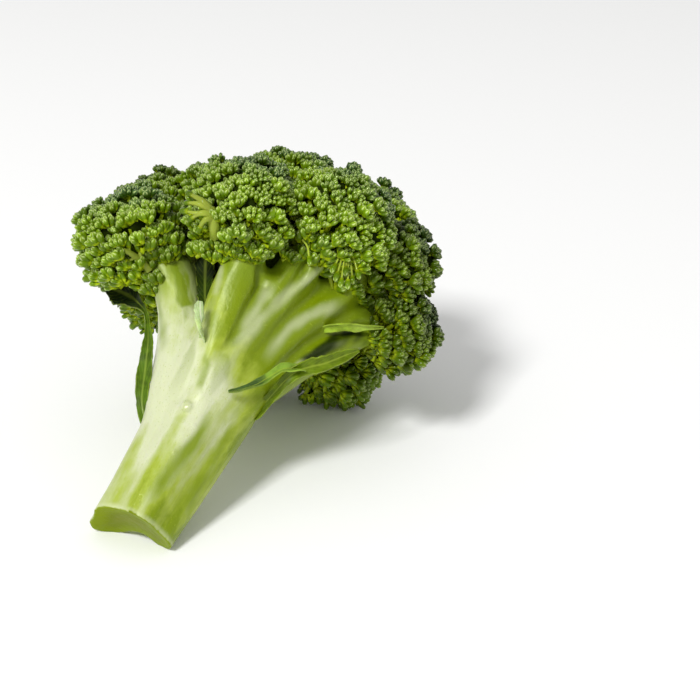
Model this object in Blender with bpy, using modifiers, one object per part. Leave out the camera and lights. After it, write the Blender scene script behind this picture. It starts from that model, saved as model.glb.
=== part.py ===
"""Broccoli head, cut from its plant and lying on its side. Metres, +Z up.

The head is modelled as it grew, with the cut of the stalk at the origin and the stalk along +Z, and is
then laid down on the three lowest points round its weight. One object is one piece: the pale stalk with
its branches, one object for each green floret, and one for each small leaf left on the stalk.
"""

import math
import random
from typing import NamedTuple

import bmesh
import bpy
import numpy as np
from mathutils import Matrix, Vector
from mathutils.geometry import interpolate_bezier

MM = 0.001
SEED = 7

# ---- Driving dimensions, in millimetres and degrees, in the frame that the head grew in ----
HUB = Vector((0, 0, 58))  # where the branches part
CUT_DEPTH = 1.6  # how far the cut end is hollowed by drying
GAP = 0.4  # between two pieces that touch
PRESSED = 0.5  # what the surface flattens at each point that the head rests on
RESTS_TOWARDS = Vector((0.40, 0.81, -0.44))  # the side that the head lies on
UP = Vector((0, 0, 1))

# Strands of the stalk, side by side: (x, y, radius) at the cut and at the hub. The one that stands out at
# the back leaves a broad groove beside it, which gives the cut its comma shape.
STRANDS = (
    ((-8.0, 0.2, 5.4), (-7.4, -1.0, 9.2)),
    ((0.8, -2.6, 7.8), (2.0, -5.5, 11.0)),
    ((9.4, 0.6, 5.7), (11.0, 2.0, 9.5)),
    ((-7.2, 8.6, 6.2), (-5.0, 6.5, 10.0)),
    ((-1.0, 1.5, 5.8), (1.0, 4.5, 11.0)),
)
PAST_CUT = 8  # how far the strands run on below the cut, until it is made
KNIFE_RADIUS = 60  # of the shallow hollow that the cut dries to

# A branch starts inside the stalk, runs up along its grain and bends outwards to its floret.
ROOT_BELOW, ROOT_OFF_AXIS = 18, 3  # its start: below where it parts, and out from the stalk's axis
BEND_ABOVE, BEND_OFF_AXIS = 12, 6  # its bend: above where it parts, and out from the axis
ELBOW_SHARE = 0.5  # of the way from the hub to the floret's middle
END_BELOW, END_INWARDS = 0.12, 0.6  # of its end from the floret's middle, as shares of the floret's radius
ROOT_RADIUS = 7.0
BRANCH_SWELL = 1.0  # how much thicker a branch is half-way

SKIN_PITCH = 1.5  # of the skin that melts the strands together
SKIN_SMOOTHING, SKIN_PASSES = 0.6, 7
SKIN_KEPT = 0.052  # share of the skin's triangles that are kept


class Floret(NamedTuple):
    """One branch's head of buds. Its middle is given from the hub."""

    azimuth: float
    lean: float  # from the stalk's axis
    reach: float  # from the hub to its middle
    across: float  # radius across its branch
    along: float  # radius along its branch, outwards
    grain: float  # azimuth at which its branch runs down the stalk
    parts_at: float  # height at which its branch parts from the stalk
    branch: float  # radius of its branch at the end
    elbow: float  # share of the lean at which its branch rises before it bends outwards


FLORETS = {
    "left": Floret(184, 55, 65, 22, 19, 190, 26, 8.2, 0.42),
    "front_left": Floret(238, 33, 67, 21.5, 19.5, 268, 36, 7.4, 0.8),
    "front": Floret(293, 24, 78, 22, 19, 290, 32, 7.4, 0.6),
    "right": Floret(348, 26, 86, 19, 18, 317, 34, 8.2, 0.87),
    "low_right": Floret(1, 41, 78, 17, 15, 335, 38, 7.2, 0.87),
    "top": Floret(170, 6, 88, 22, 18, 282, 42, 7.4, 2.4),
    "top_left": Floret(163, 41, 81, 19, 17, 192, 36, 6.4, 0.66),
    "top_right": Floret(28, 14, 102, 20, 16, 5, 44, 6.4, 0.6),
    "middle": Floret(90, 19, 87, 21, 17, 90, 44, 6.4, 0.6),
    "middle_left": Floret(165, 25, 78, 22.5, 17, 150, 44, 5.6, 0.6),
    "middle_right": Floret(56, 28, 91, 19, 17, 50, 42, 6.0, 0.6),
    "outer_right": Floret(23, 32, 87, 18, 16, 20, 40, 5.6, 0.7),
    "back_left": Floret(135, 48, 72, 21, 18, 140, 30, 6.4, 0.6),
    "back": Floret(90, 46, 75, 24, 20, 95, 32, 7.2, 0.6),
    "back_right": Floret(52, 44, 82, 21.5, 18, 44, 34, 6.8, 0.6),
}
UNDERSIDE = 0.55  # depth of a floret below its middle, as a share of its radius across
CLUSTERS = 13  # rounded groups of knobs on each floret
CLUSTER_DEPTH = 3.0  # how deep the valleys between the groups are
KNOB_PITCH = 7.4  # from one knob of buds to the next
KNOB_HEIGHT = 2.2  # how far a knob stands out
KNOB_STRAY = 1.0  # how far a knob strays sideways
KNOB_RANGE = (0.7, 1.3)  # its height, as a share


class Leaf(NamedTuple):
    """A blade along a midrib that starts inside the stalk. Widths run from the midrib to one edge."""

    midrib: tuple  # points along it
    left: tuple  # width at each point, to the left as the leaf is seen from its facing side, tip up
    right: tuple
    facing: tuple  # where its facing side looks
    cup: float  # how far the edges rise towards the facing side, as a share of the width
    teeth: float  # depth of the teeth, as a share of the width


LEAVES = {
    "leaf_left": Leaf(
        ((-13, -1, 34), (-18.8, -2, 41.5), (-22.6, -2, 53), (-25.5, -2, 62), (-29.3, 0, 68.5),
         (-33.4, 3, 74), (-38.3, 6, 77.5), (-43.2, 9, 80), (-48, 12, 81), (-54, 15, 81)),
        (1.5, 3.0, 4.8, 3.2, 1.6, 2.6, 6.0, 7.5, 5.5, 0.8),
        (2.5, 4.0, 4.0, 3.6, 3.0, 2.4, 3.2, 4.0, 3.6, 0.8),
        (-0.3, -0.9, -0.2), 0.3, 0.16,
    ),
    "leaf_right": Leaf(
        ((11, 1, 53), (17.6, -2, 56.5), (19.6, -6, 60.5), (21.0, -10, 64.5), (22.3, -13.5, 68.5),
         (24.6, -15.5, 73.5), (28.2, -15.8, 77.6), (32.2, -15.6, 81.6), (37.1, -14.5, 88.5),
         (40.7, -13.5, 93.4)),
        (1.6, 2.0, 2.0, 2.0, 2.2, 2.6, 3.4, 3.2, 2.4, 0.6),
        (1.6, 2.6, 2.4, 2.2, 2.2, 2.8, 3.2, 3.0, 2.2, 0.6),
        (0.2, -0.9, -0.3), 0.45, 0.12,
    ),
    "leaf_upper": Leaf(
        ((22, -5, 93.5), (25.5, -9.5, 96.2), (30.4, -11, 99.7), (35, -10.6, 102.3), (39.6, -9.6, 105.4),
         (44.9, -7.6, 109.2)),
        (1.4, 2.0, 2.4, 2.4, 2.0, 0.6),
        (1.4, 2.2, 3.0, 3.0, 2.4, 0.6),
        (0.5, -0.5, -0.7), 0.4, 0.1,
    ),
    "leaf_inner": Leaf(
        ((-9, -7, 74), (-13.5, -10, 78.5), (-17, -9.3, 84.5), (-20, -6.3, 91), (-22, -3.6, 97),
         (-24, -2, 102)),
        (1.4, 2.2, 3.4, 3.8, 3.2, 0.8),
        (1.4, 2.2, 3.4, 3.8, 3.2, 0.8),
        (0.0, -0.9, -0.44), 0.2, 0.25,
    ),
    "bract": Leaf(
        ((-8, -13, 66), (-10.4, -19, 67.6), (-12.6, -23.6, 69.4), (-14.8, -25.0, 72.4), (-16.6, -25.2, 75.6)),
        (1.4, 1.8, 2.2, 1.8, 0.5),
        (1.4, 1.8, 2.2, 1.8, 0.5),
        (0.0, -0.8, 0.6), -0.3, 0.1,
    ),
}
# The lobe at the foot of the right-hand leaf's blade, which turns back over the stalk.
AURICLE = Leaf(
    ((26.5, -15.6, 75.5), (23.4, -16.6, 73.6), (19.9, -17.2, 71.0), (17.3, -17.4, 66.4),
     (14.5, -17.6, 61.0), (10.5, -18, 56.2), (7.2, -18, 53.4)),
    (2.0, 2.4, 2.4, 2.2, 1.9, 1.4, 0.5),
    (2.0, 2.2, 2.0, 1.8, 1.6, 1.2, 0.5),
    (-0.3, -0.9, 0.3), 0.45, 0.05,
)
LEAF_THICKNESS = 0.9
LEAF_STEPS = 14  # rows of faces along a leaf
LEAF_COLUMNS = 4  # and across it

TABLE = (0.4, 0.4, 0.1)  # the block that flattens the resting points, in metres

STALK_GREEN = (0.52, 0.62, 0.22)
BUD_GREEN = (0.11, 0.20, 0.045)
LEAF_GREEN = (0.12, 0.26, 0.035)
BRACT_GREEN = (0.38, 0.50, 0.30)


# ---- Helpers ----
def new_collection(name):
    made = bpy.data.collections.new(name)
    bpy.context.scene.collection.children.link(made)
    return made


def new_material(name, colour, roughness):
    made = bpy.data.materials.new(name)
    made.use_nodes = True
    shader = made.node_tree.nodes["Principled BSDF"]
    shader.inputs["Base Color"].default_value = (*colour, 1)
    shader.inputs["Roughness"].default_value = roughness
    shader.inputs["Metallic"].default_value = 0.0
    made.diffuse_color = (*colour, 1)
    return made


def add_object(name, mesh, collection, material=None):
    made = bpy.data.objects.new(name, mesh)
    collection.objects.link(made)
    if material:
        mesh.materials.append(material)
    return made


def evaluated_mesh(obj):
    """A copy of the object's mesh with its modifiers applied."""
    bpy.context.view_layer.update()
    graph = bpy.context.evaluated_depsgraph_get()
    return bpy.data.meshes.new_from_object(obj.evaluated_get(graph), depsgraph=graph)


def apply_modifiers(obj):
    old, obj.data = obj.data, evaluated_mesh(obj)
    obj.modifiers.clear()
    bpy.data.meshes.remove(old)


def boolean(obj, operation, other):
    modifier = obj.modifiers.new(operation.lower(), "BOOLEAN")
    modifier.operation = operation
    modifier.solver = "EXACT"
    modifier.object = other
    apply_modifiers(obj)


def drop_scraps(obj):
    """Keeps the largest of the mesh's separate shells, and stops on a piece that was cut away altogether."""
    shape = bmesh.new()
    shape.from_mesh(obj.data)
    left, shells = set(shape.verts), []
    while left:
        shell, front = set(), [left.pop()]
        while front:
            vert = front.pop()
            shell.add(vert)
            fresh = {edge.other_vert(vert) for edge in vert.link_edges} & left
            left -= fresh
            front.extend(fresh)
        shells.append(shell)
    if not shells:
        raise ValueError(obj.name + " has nothing left")
    largest = max(shells, key=len)
    bmesh.ops.delete(shape, geom=[v for v in shape.verts if v not in largest], context="VERTS")
    shape.to_mesh(obj.data)
    shape.free()


def direction(azimuth, lean):
    a, b = math.radians(azimuth), math.radians(lean)
    return Vector((math.sin(b) * math.cos(a), math.sin(b) * math.sin(a), math.cos(b)))


def hide_cutter(obj, cutters):
    """Moves an object among the cutters, which no render shows."""
    for owner in list(obj.users_collection):
        owner.objects.unlink(obj)
    cutters.objects.link(obj)
    obj.hide_render = True
    obj.display_type = "WIRE"


def tube(points, radii):
    """The mesh of a round tube through points, in millimetres, with closed ends."""
    curve = bpy.data.curves.new("tube", "CURVE")
    curve.dimensions = "3D"
    curve.bevel_depth = MM
    curve.bevel_resolution = 3
    curve.use_fill_caps = True
    spline = curve.splines.new("POLY")
    spline.points.add(len(points) - 1)
    for point, at, radius in zip(spline.points, points, radii):
        point.co = (*(Vector(at) * MM), 1)
        point.radius = radius
    guide = bpy.data.objects.new("tube", curve)
    bpy.context.scene.collection.objects.link(guide)
    mesh = evaluated_mesh(guide)
    bpy.data.objects.remove(guide)
    bpy.data.curves.remove(curve)
    shape = bmesh.new()
    shape.from_mesh(mesh)
    bmesh.ops.remove_doubles(shape, verts=shape.verts, dist=1e-6)
    shape.to_mesh(mesh)
    shape.free()
    return mesh


def joined(meshes, name):
    """One mesh of several, which stay separate shells."""
    shape = bmesh.new()
    for mesh in meshes:
        shape.from_mesh(mesh)
        bpy.data.meshes.remove(mesh)
    whole = bpy.data.meshes.new(name)
    shape.to_mesh(whole)
    shape.free()
    return whole


# ---- The stalk ----
def floret_axis(name):
    return direction(FLORETS[name].azimuth, FLORETS[name].lean)


def floret_middle(name):
    return HUB + floret_axis(name) * FLORETS[name].reach


def branch_route(name, steps=12):
    """Points and radii of a branch: it leaves the stalk along its grain and ends under its floret."""
    floret = FLORETS[name]
    grain = direction(floret.grain, 90)
    start = UP * (floret.parts_at - ROOT_BELOW) + grain * ROOT_OFF_AXIS
    bend = UP * (floret.parts_at + BEND_ABOVE) + grain * BEND_OFF_AXIS
    turning = floret.grain + ((floret.azimuth - floret.grain + 180) % 360 - 180) / 2
    elbow = HUB + direction(turning, floret.lean * floret.elbow) * (ELBOW_SHARE * floret.reach)
    outwards = direction(floret.azimuth, 90) * (floret.across * math.sin(math.radians(floret.lean)))
    below = floret_axis(name) * (END_BELOW * floret.across)
    end = floret_middle(name) - below - outwards * END_INWARDS
    points = interpolate_bezier(start, bend, elbow, end, steps)
    shares = [i / (steps - 1) for i in range(steps)]
    narrowing = floret.branch - ROOT_RADIUS
    radii = [ROOT_RADIUS + narrowing * s + BRANCH_SWELL * math.sin(math.pi * s) for s in shares]
    return points, radii


def strand_route(strand, steps=7):
    """Points and radii of one strand, from below the cut to the hub."""
    (x0, y0, r0), (x1, y1, r1) = strand
    low, high = Vector((x0, y0, -PAST_CUT)), Vector((x1, y1, HUB.z))
    shares = [i / (steps - 1) for i in range(steps)]
    return [low.lerp(high, s) for s in shares], [r0 + (r1 - r0) * s for s in shares]


def make_stalk(collection, material):
    """Strands and branches melted into one fluted body with a smooth skin."""
    tubes = [tube(*strand_route(strand)) for strand in STRANDS]
    tubes += [tube(*branch_route(name)) for name in FLORETS]
    stalk = add_object("stalk", joined(tubes, "stalk"), collection, material)
    melt = stalk.modifiers.new("melt", "REMESH")
    melt.mode = "VOXEL"
    melt.voxel_size = SKIN_PITCH * MM
    smooth = stalk.modifiers.new("smooth", "SMOOTH")
    smooth.factor = SKIN_SMOOTHING
    smooth.iterations = SKIN_PASSES
    coarse = stalk.modifiers.new("coarse", "DECIMATE")
    coarse.ratio = SKIN_KEPT
    apply_modifiers(stalk)
    return stalk


def cut_stalk(stalk, cutters):
    """The knife's cut, slightly hollow: what lies below a shallow dome at z = 0 comes off."""
    middle = (0, 0, (CUT_DEPTH - KNIFE_RADIUS) * MM)
    bpy.ops.mesh.primitive_uv_sphere_add(
        segments=48, ring_count=48, radius=KNIFE_RADIUS * MM, location=middle
    )
    knife = bpy.context.object
    knife.name = "knife"
    hide_cutter(knife, cutters)
    boolean(stalk, "DIFFERENCE", knife)


# ---- The florets ----
def neighbours_planes(name):
    """(normal, distance) of the planes that keep this floret clear of the others, as seen from its middle."""
    here, radius = floret_middle(name), FLORETS[name].across
    planes = []
    for other in FLORETS:
        if other == name:
            continue
        to_other = floret_middle(other) - here
        apart = to_other.length
        middle = (apart**2 + radius**2 - FLORETS[other].across ** 2) / (2 * apart)
        planes.append((to_other / apart, middle - GAP / 2))
    return planes


def spread_points(count, turn):
    """Directions spread evenly over a sphere, on a spiral."""
    golden = math.pi * (3 - math.sqrt(5))
    found = []
    for i in range(count):
        z = 1 - (2 * i + 1) / count
        side = math.sqrt(1 - z * z)
        found.append(Vector((side * math.cos(golden * i + turn), side * math.sin(golden * i + turn), z)))
    return found


def floret_radius(floret, axis, towards, groups):
    """Distance from a floret's middle to its skin between the knobs, in one direction."""
    up = towards.dot(axis)
    depth = floret.along if up > 0 else UNDERSIDE * floret.across
    side = math.sqrt(max(0.0, 1 - up * up))
    skin = 1 / math.sqrt((up / depth) ** 2 + (side / floret.across) ** 2)
    nearest = min(towards.angle(group) for group in groups)
    reach = math.sqrt(4 * math.pi / len(groups)) / 2
    return skin - CLUSTER_DEPTH * min(1.0, (nearest / reach) ** 2)


def make_floret(name, collection, material, draw):
    """A dome of knobs: points spread over a ball at the knobs' pitch, each standing out of lower ones."""
    floret = FLORETS[name]
    axis, middle = floret_axis(name), floret_middle(name)
    planes = neighbours_planes(name)
    turned = axis.to_track_quat("Z", "Y")
    groups = [turned @ g for g in spread_points(CLUSTERS, draw.uniform(0, math.tau))]
    shape = bmesh.new()
    knobs = round(4 * math.pi * (floret.across / KNOB_PITCH) ** 2)
    for point in spread_points(knobs, 0):
        stray = Vector([draw.uniform(-1, 1) for _ in range(3)]) * (KNOB_STRAY / floret.across)
        shape.verts.new((point + stray).normalized())
    bmesh.ops.convex_hull(shape, input=shape.verts)
    bmesh.ops.subdivide_edges(shape, edges=shape.edges, cuts=1, use_grid_fill=True)
    shape.verts.ensure_lookup_table()
    for i, vert in enumerate(shape.verts):
        towards = turned @ vert.co.normalized()
        reach = floret_radius(floret, axis, towards, groups)
        if i < knobs:
            reach += KNOB_HEIGHT * draw.uniform(*KNOB_RANGE)
        for normal, distance in planes:
            slope = towards.dot(normal)
            if slope > 0:
                reach = min(reach, distance / slope)
        vert.co = (middle + towards * reach) * MM
    mesh = bpy.data.meshes.new("floret_" + name)
    shape.to_mesh(mesh)
    shape.free()
    return add_object("floret_" + name, mesh, collection, material)


# ---- The leaves ----
SLOPE_STEP = 0.02  # share of a leaf over which its direction is taken


def along_points(points, share):
    """A point on the smooth curve through points, at a share from 0 to 1 of their count."""
    at = share * (len(points) - 1)
    i = min(int(at), len(points) - 2)
    t = at - i
    p0, p1, p2, p3 = (Vector(points[min(max(i + k, 0), len(points) - 1)]) for k in (-1, 0, 1, 2))
    bowed = (2 * p0 - 5 * p1 + 4 * p2 - p3) * t**2
    turned = (3 * p1 - p0 - 3 * p2 + p3) * t**3
    return (2 * p1 + (p2 - p0) * t + bowed + turned) / 2


def along_values(values, share):
    return float(np.interp(share * (len(values) - 1), range(len(values)), values))


def make_blade(name, leaf, collection, material):
    """A grid bent along the midrib and cupped across it, with toothed edges, then thickened."""
    shape = bmesh.new()
    bmesh.ops.create_grid(shape, x_segments=LEAF_COLUMNS, y_segments=LEAF_STEPS, size=1.0)
    facing = Vector(leaf.facing).normalized()
    for vert in shape.verts:
        across, share = vert.co.x, (vert.co.y + 1) / 2
        middle = along_points(leaf.midrib, share)
        ahead = along_points(leaf.midrib, min(share + SLOPE_STEP, 1))
        tangent = ahead - along_points(leaf.midrib, max(share - SLOPE_STEP, 0))
        side = tangent.cross(facing).normalized()
        rise = side.cross(tangent).normalized()
        width = along_values(leaf.right if across > 0 else leaf.left, share)
        on_edge = abs(across) > 1 - 1 / LEAF_COLUMNS
        if on_edge and round(share * LEAF_STEPS) % 2:
            width *= 1 - leaf.teeth
        vert.co = (middle + side * (across * width) + rise * (leaf.cup * width * across**2)) * MM
    bmesh.ops.triangulate(shape, faces=shape.faces)
    mesh = bpy.data.meshes.new(name)
    shape.to_mesh(mesh)
    shape.free()
    blade = add_object(name, mesh, collection, material)
    thicken = blade.modifiers.new("thicken", "SOLIDIFY")
    thicken.thickness = LEAF_THICKNESS * MM
    thicken.offset = 0.0
    apply_modifiers(blade)
    return blade


def make_leaves(collection, leaf_skin, bract_skin):
    leaves = {}
    for name, leaf in LEAVES.items():
        leaves[name] = make_blade(name, leaf, collection, bract_skin if name == "bract" else leaf_skin)
    lobe = make_blade("auricle", AURICLE, collection, leaf_skin)
    boolean(leaves["leaf_right"], "UNION", lobe)
    bpy.data.objects.remove(lobe)
    return list(leaves.values())


def seat_on_branches(pieces, stalk, cutters):
    """Cuts a socket for its branch in each floret, and ends each leaf at the stalk's skin, with a gap."""
    wider = add_object("wider_stalk", stalk.data.copy(), cutters)
    hide_cutter(wider, cutters)
    swell = wider.modifiers.new("swell", "DISPLACE")
    swell.strength = GAP * MM
    swell.mid_level = 0.0
    apply_modifiers(wider)
    for piece in pieces:
        boolean(piece, "DIFFERENCE", wider)
        drop_scraps(piece)


# ---- Laying the head down ----
def solids_facts(objects):
    """All corners, and the volume's centre, of the objects together."""
    corners, volume, moment = [], 0.0, np.zeros(3)
    for obj in objects:
        mesh = evaluated_mesh(obj)
        mesh.calc_loop_triangles()
        co = np.empty(len(mesh.vertices) * 3)
        mesh.vertices.foreach_get("co", co)
        co = co.reshape(-1, 3)
        ids = np.empty(len(mesh.loop_triangles) * 3, int)
        mesh.loop_triangles.foreach_get("vertices", ids)
        a, b, c = (co[ids.reshape(-1, 3)[:, k]] for k in range(3))
        parts = np.einsum("ij,ij->i", a, np.cross(b, c)) / 6
        volume += parts.sum()
        moment += ((a + b + c) / 4 * parts[:, None]).sum(axis=0)
        corners.append(co)
        bpy.data.meshes.remove(mesh)
    return np.vstack(corners), Vector(moment / volume)


def resting_normal(corners, weight):
    """The outward normal of the hull's facet that the weight stands over, nearest to the resting side."""
    shape = bmesh.new()
    for corner in corners:
        shape.verts.new(corner)
    hull = bmesh.ops.convex_hull(shape, input=shape.verts)
    faces = [f for f in hull["geom"] if isinstance(f, bmesh.types.BMFace)]
    best, found = -2.0, None
    for face in faces:
        face.normal_update()
        outward = face.normal.copy()
        if outward.dot(face.verts[0].co - weight) < 0:
            outward.negate()
        foot = weight + outward * outward.dot(face.verts[0].co - weight)
        a, b, c = (v.co for v in face.verts)
        normal = (b - a).cross(c - a)
        sides = [normal.dot((q - p).cross(foot - p)) for p, q in ((a, b), (b, c), (c, a))]
        towards = outward.dot(RESTS_TOWARDS.normalized())
        if (min(sides) > 0 or max(sides) < 0) and towards > best:
            best, found = towards, outward
    shape.free()
    if found is None:
        raise ValueError("the weight stands over no facet on the resting side")
    return found


def lay_down(objects, cutters):
    """Turns the head onto its resting points, flattens those, and centres it over the origin."""
    corners, weight = solids_facts(objects)
    down = resting_normal(corners, weight)
    along = (UP - down * down.z).normalized()
    side = (-down).cross(along)
    turn = Matrix((along, side, -down)).to_4x4()
    placed = corners @ np.array(turn.to_3x3()).T
    low, high = placed.min(axis=0), placed.max(axis=0)
    shift = Vector((-(low[0] + high[0]) / 2, -(low[1] + high[1]) / 2, -low[2] - PRESSED * MM))
    head = bpy.data.objects.new("head", None)
    head.matrix_world = Matrix.Translation(shift) @ turn
    objects[0].users_collection[0].objects.link(head)
    for obj in objects:
        obj.parent = head
    bpy.ops.mesh.primitive_cube_add(size=1.0, location=(0, 0, -TABLE[2] / 2))
    table = bpy.context.object
    table.name = "table"
    table.scale = TABLE
    hide_cutter(table, cutters)
    bpy.context.view_layer.update()
    for obj in objects:
        lowest = min((obj.matrix_world @ v.co).z for v in obj.data.vertices)
        if lowest < 0:
            boolean(obj, "DIFFERENCE", table)


def main():
    for old in list(bpy.data.objects):
        bpy.data.objects.remove(old)
    draw = random.Random(SEED)
    head = new_collection("broccoli_head")
    cutters = new_collection("cutters")
    stalk_skin = new_material("stalk_skin", STALK_GREEN, 0.4)
    buds = new_material("buds", BUD_GREEN, 0.5)
    leaf_skin = new_material("leaf_skin", LEAF_GREEN, 0.45)
    bract_skin = new_material("bract_skin", BRACT_GREEN, 0.4)
    stalk = make_stalk(head, stalk_skin)
    cut_stalk(stalk, cutters)
    florets = [make_floret(name, head, buds, draw) for name in FLORETS]
    leaves = make_leaves(head, leaf_skin, bract_skin)
    seat_on_branches(florets + leaves, stalk, cutters)
    lay_down([stalk, *florets, *leaves], cutters)


main()
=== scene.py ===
"""A broccoli head lying on its side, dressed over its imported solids. Metres, +Z up."""

import math
from functools import partial

import bpy
import numpy as np
from mathutils import Euler, Matrix, Vector, noise
from mathutils.bvhtree import BVHTree
from mathutils.kdtree import KDTree


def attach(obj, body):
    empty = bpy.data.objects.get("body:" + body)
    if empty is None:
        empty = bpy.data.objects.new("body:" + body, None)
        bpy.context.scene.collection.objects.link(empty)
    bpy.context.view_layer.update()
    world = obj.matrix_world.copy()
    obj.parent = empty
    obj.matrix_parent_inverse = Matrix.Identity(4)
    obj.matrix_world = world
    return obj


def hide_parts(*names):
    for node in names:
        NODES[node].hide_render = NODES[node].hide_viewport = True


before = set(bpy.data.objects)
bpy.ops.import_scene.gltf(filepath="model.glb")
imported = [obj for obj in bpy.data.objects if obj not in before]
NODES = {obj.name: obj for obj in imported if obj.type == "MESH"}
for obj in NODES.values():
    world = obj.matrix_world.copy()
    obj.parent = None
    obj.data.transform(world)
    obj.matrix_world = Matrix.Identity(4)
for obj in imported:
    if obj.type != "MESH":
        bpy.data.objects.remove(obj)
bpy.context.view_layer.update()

bl_info = {
    "name": "Broccoli Head",
    "version": (1, 0, 0),
    "blender": (4, 5, 0),
    "location": "3D Viewport > Sidebar > Broccoli",
    "description": "Dresses a broccoli head: waxy stalk, florets of buds, small leaves, and a plain stage",
    "category": "Object",
}

MM = 0.001
GOLDEN_ANGLE = math.pi * (3 - math.sqrt(5))
UP = Vector((0, 0, 1))

# ---- The frame that the head grew in: the cut at its origin, the stalk along +Z, in millimetres ----
RESTING_SIDE = Vector((0.40528, 0.75664, -0.51307))  # what is down once the head is laid on its side
CUT_AT = Vector((-79.239, -5.270, 8.983))  # where the middle of the cut then lies
HUB = Vector((0, 0, 58))  # where the branches part
CUT_DEPTH = 1.6  # of the shallow hollow that the cut dries to
KNIFE_RADIUS = 60.0  # of that hollow's curve
THICK_SIDE = (1.2, -1.5, 2.4)  # how far the cut's low side is drawn back from these directions
SHOULDER = 2.2  # how far the left branch's foot stands out
DROP_HEIGHT = 0.22  # of a drop of water, as a share of its width
STALK_FACE = 0.75  # size of a face of the finished stalk
FLOW_STEP = 4.0  # height between the levels where the stalk's width is taken
MARKED_HEIGHT = 100  # the height that the stalk's marks give as 1
# Each row of the next three tables is a strip of the stalk's skin: its half width where it starts and where
# it ends, the softness of its edges, and the places that it runs through.
# Where the wax is off and the skin shows olive:
BARE_STRIPS = (
    (1.6, 2.6, 0.3, (-34.1, -10.4, 90.9), (-29.8, -10.2, 87.6), (-25.8, -10.1, 83.1), (-20.8, -10, 77.6)),
    (1.5, 2.2, 0.9, (-35.3, -4.4, 83.6), (-28.9, -3.4, 76.1), (-23.9, -5.1, 68.5), (-19.5, -6.7, 58.3)),
    (1.5, 1.5, 0.9, (-31, -9, 93), (-27, -9.5, 89.2), (-23, -10, 85), (-17, -10, 77)),
    (0.9, 0.9, 0.3, (-9.4, -25.7, 94.6), (-4.6, -23.6, 91.4)),
    (1.2, 1.4, 0.25, (-18, -20.5, 99.7), (-14.7, -23.7, 95.3), (-11.5, -23.7, 89.8), (-9.6, -22.5, 84.4),
     (-7.5, -23.7, 87.7)),
    (2.2, 2.0, 0.7, (-11.7, -17.8, 78.5), (-8.6, -19.6, 73.9), (-4.6, -19.6, 68.0)),
    (1.3, 1.0, 0.8, (-7.2, -17, 63.5), (-4, -17, 58.8), (-2.5, -14.9, 48.9)),
    (1.8, 2.6, 0.9, (5.2, -14.4, 49), (5.5, -13.5, 40.1), (5.2, -12.5, 32.2), (3.4, -11.8, 22),
     (1.2, -10.4, 3)),
    (1.6, 3.4, 0.9, (14.6, -9.4, 52), (14.6, -8.1, 46.9), (14.3, -6.2, 35.7), (13.6, -5.4, 22),
     (12.6, -4.5, 5)),
    (2.8, 3.2, 0.7, (14.2, -15.5, 97.4), (11.9, -16.6, 90.8), (10.1, -16.2, 80.8), (8.3, -14.8, 66.7)),
    (1.6, 2.6, 0.9, (22.7, -14.3, 105.4), (19.5, -14.2, 95.3), (16.2, -14.1, 85.6), (14.4, -13.7, 77.1),
     (13.1, -12.1, 61.9)),
    (1.2, 1.4, 0.6, (24.5, -14.5, 117), (19.5, -14.9, 107.8), (15.4, -14.8, 98.1)),
    (1.8, 1.0, 0.8, (-2.8, -23, 112.8), (1, -21, 101.6), (1.1, -19.8, 94.1), (0.1, -19.9, 86.6)),
)
# Painted highlights along the ridges, in the pale colour of thick wax:
PAINTED_HIGHLIGHT_STRIPS = (
    (1.3, 2.4, 0.8, (15.3, -22, 117.3), (11.9, -21.2, 104.5), (9, -20.9, 97.4), (6.8, -20, 90.1),
     (4.5, -18.9, 83), (2.4, -17.6, 73.3), (0.6, -17.2, 63.7)),
    (1.5, 1.6, 0.6, (-16.9, -20.1, 95.9), (-15.6, -20.7, 91.8), (-13.6, -20.5, 87.1), (-12.6, -19.1, 81.7)),
    (2.0, 1.4, 0.9, (29.8, -10.1, 110), (22.9, -13.8, 101.2), (18, -14.5, 94.1), (14.8, -14.6, 88.1),
     (13.3, -14.3, 79.2), (12.6, -13.4, 70.3)),
    (0.8, 1.0, 0.9, (36, -7.3, 98.4), (29.5, -9.1, 89.6), (24.2, -9.6, 79.4), (21, -9.1, 69.7)),
    (1.8, 1.8, 0.9, (2.2, -21, 98.7), (1.6, -19.5, 90), (1.4, -18.9, 81.1), (0.8, -18.3, 73)),
)
# Painted shade in the dark bottoms of the gaps between the branches:
GAP_SHADE_STRIPS = (
    (1.8, 0.3, 0.35, (-6.6, -24.8, 109), (-5.3, -24.5, 102.8), (-3.7, -22.9, 98.7), (-1.5, -21, 94)),
    (1.6, 0.3, 0.35, (8.9, -26.4, 117.4), (8.4, -25.4, 111.6), (9.4, -23, 104.5)),
    (5.2, 2.6, 0.4, (-21.9, 0.8, 110.5), (-21.3, 0.9, 103.6), (-19.7, 0, 97), (-17.3, -1.7, 90.3)),
    (1.7, 0.6, 0.4, (44.5, -5, 110.6), (35.5, -8, 101.6), (28, -9.5, 93.3)),
    (3.6, 2.0, 0.4, (39, -3.5, 107), (33.5, -5, 99.5), (28, -8.5, 88), (24.5, -9.5, 79)),
)
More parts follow.
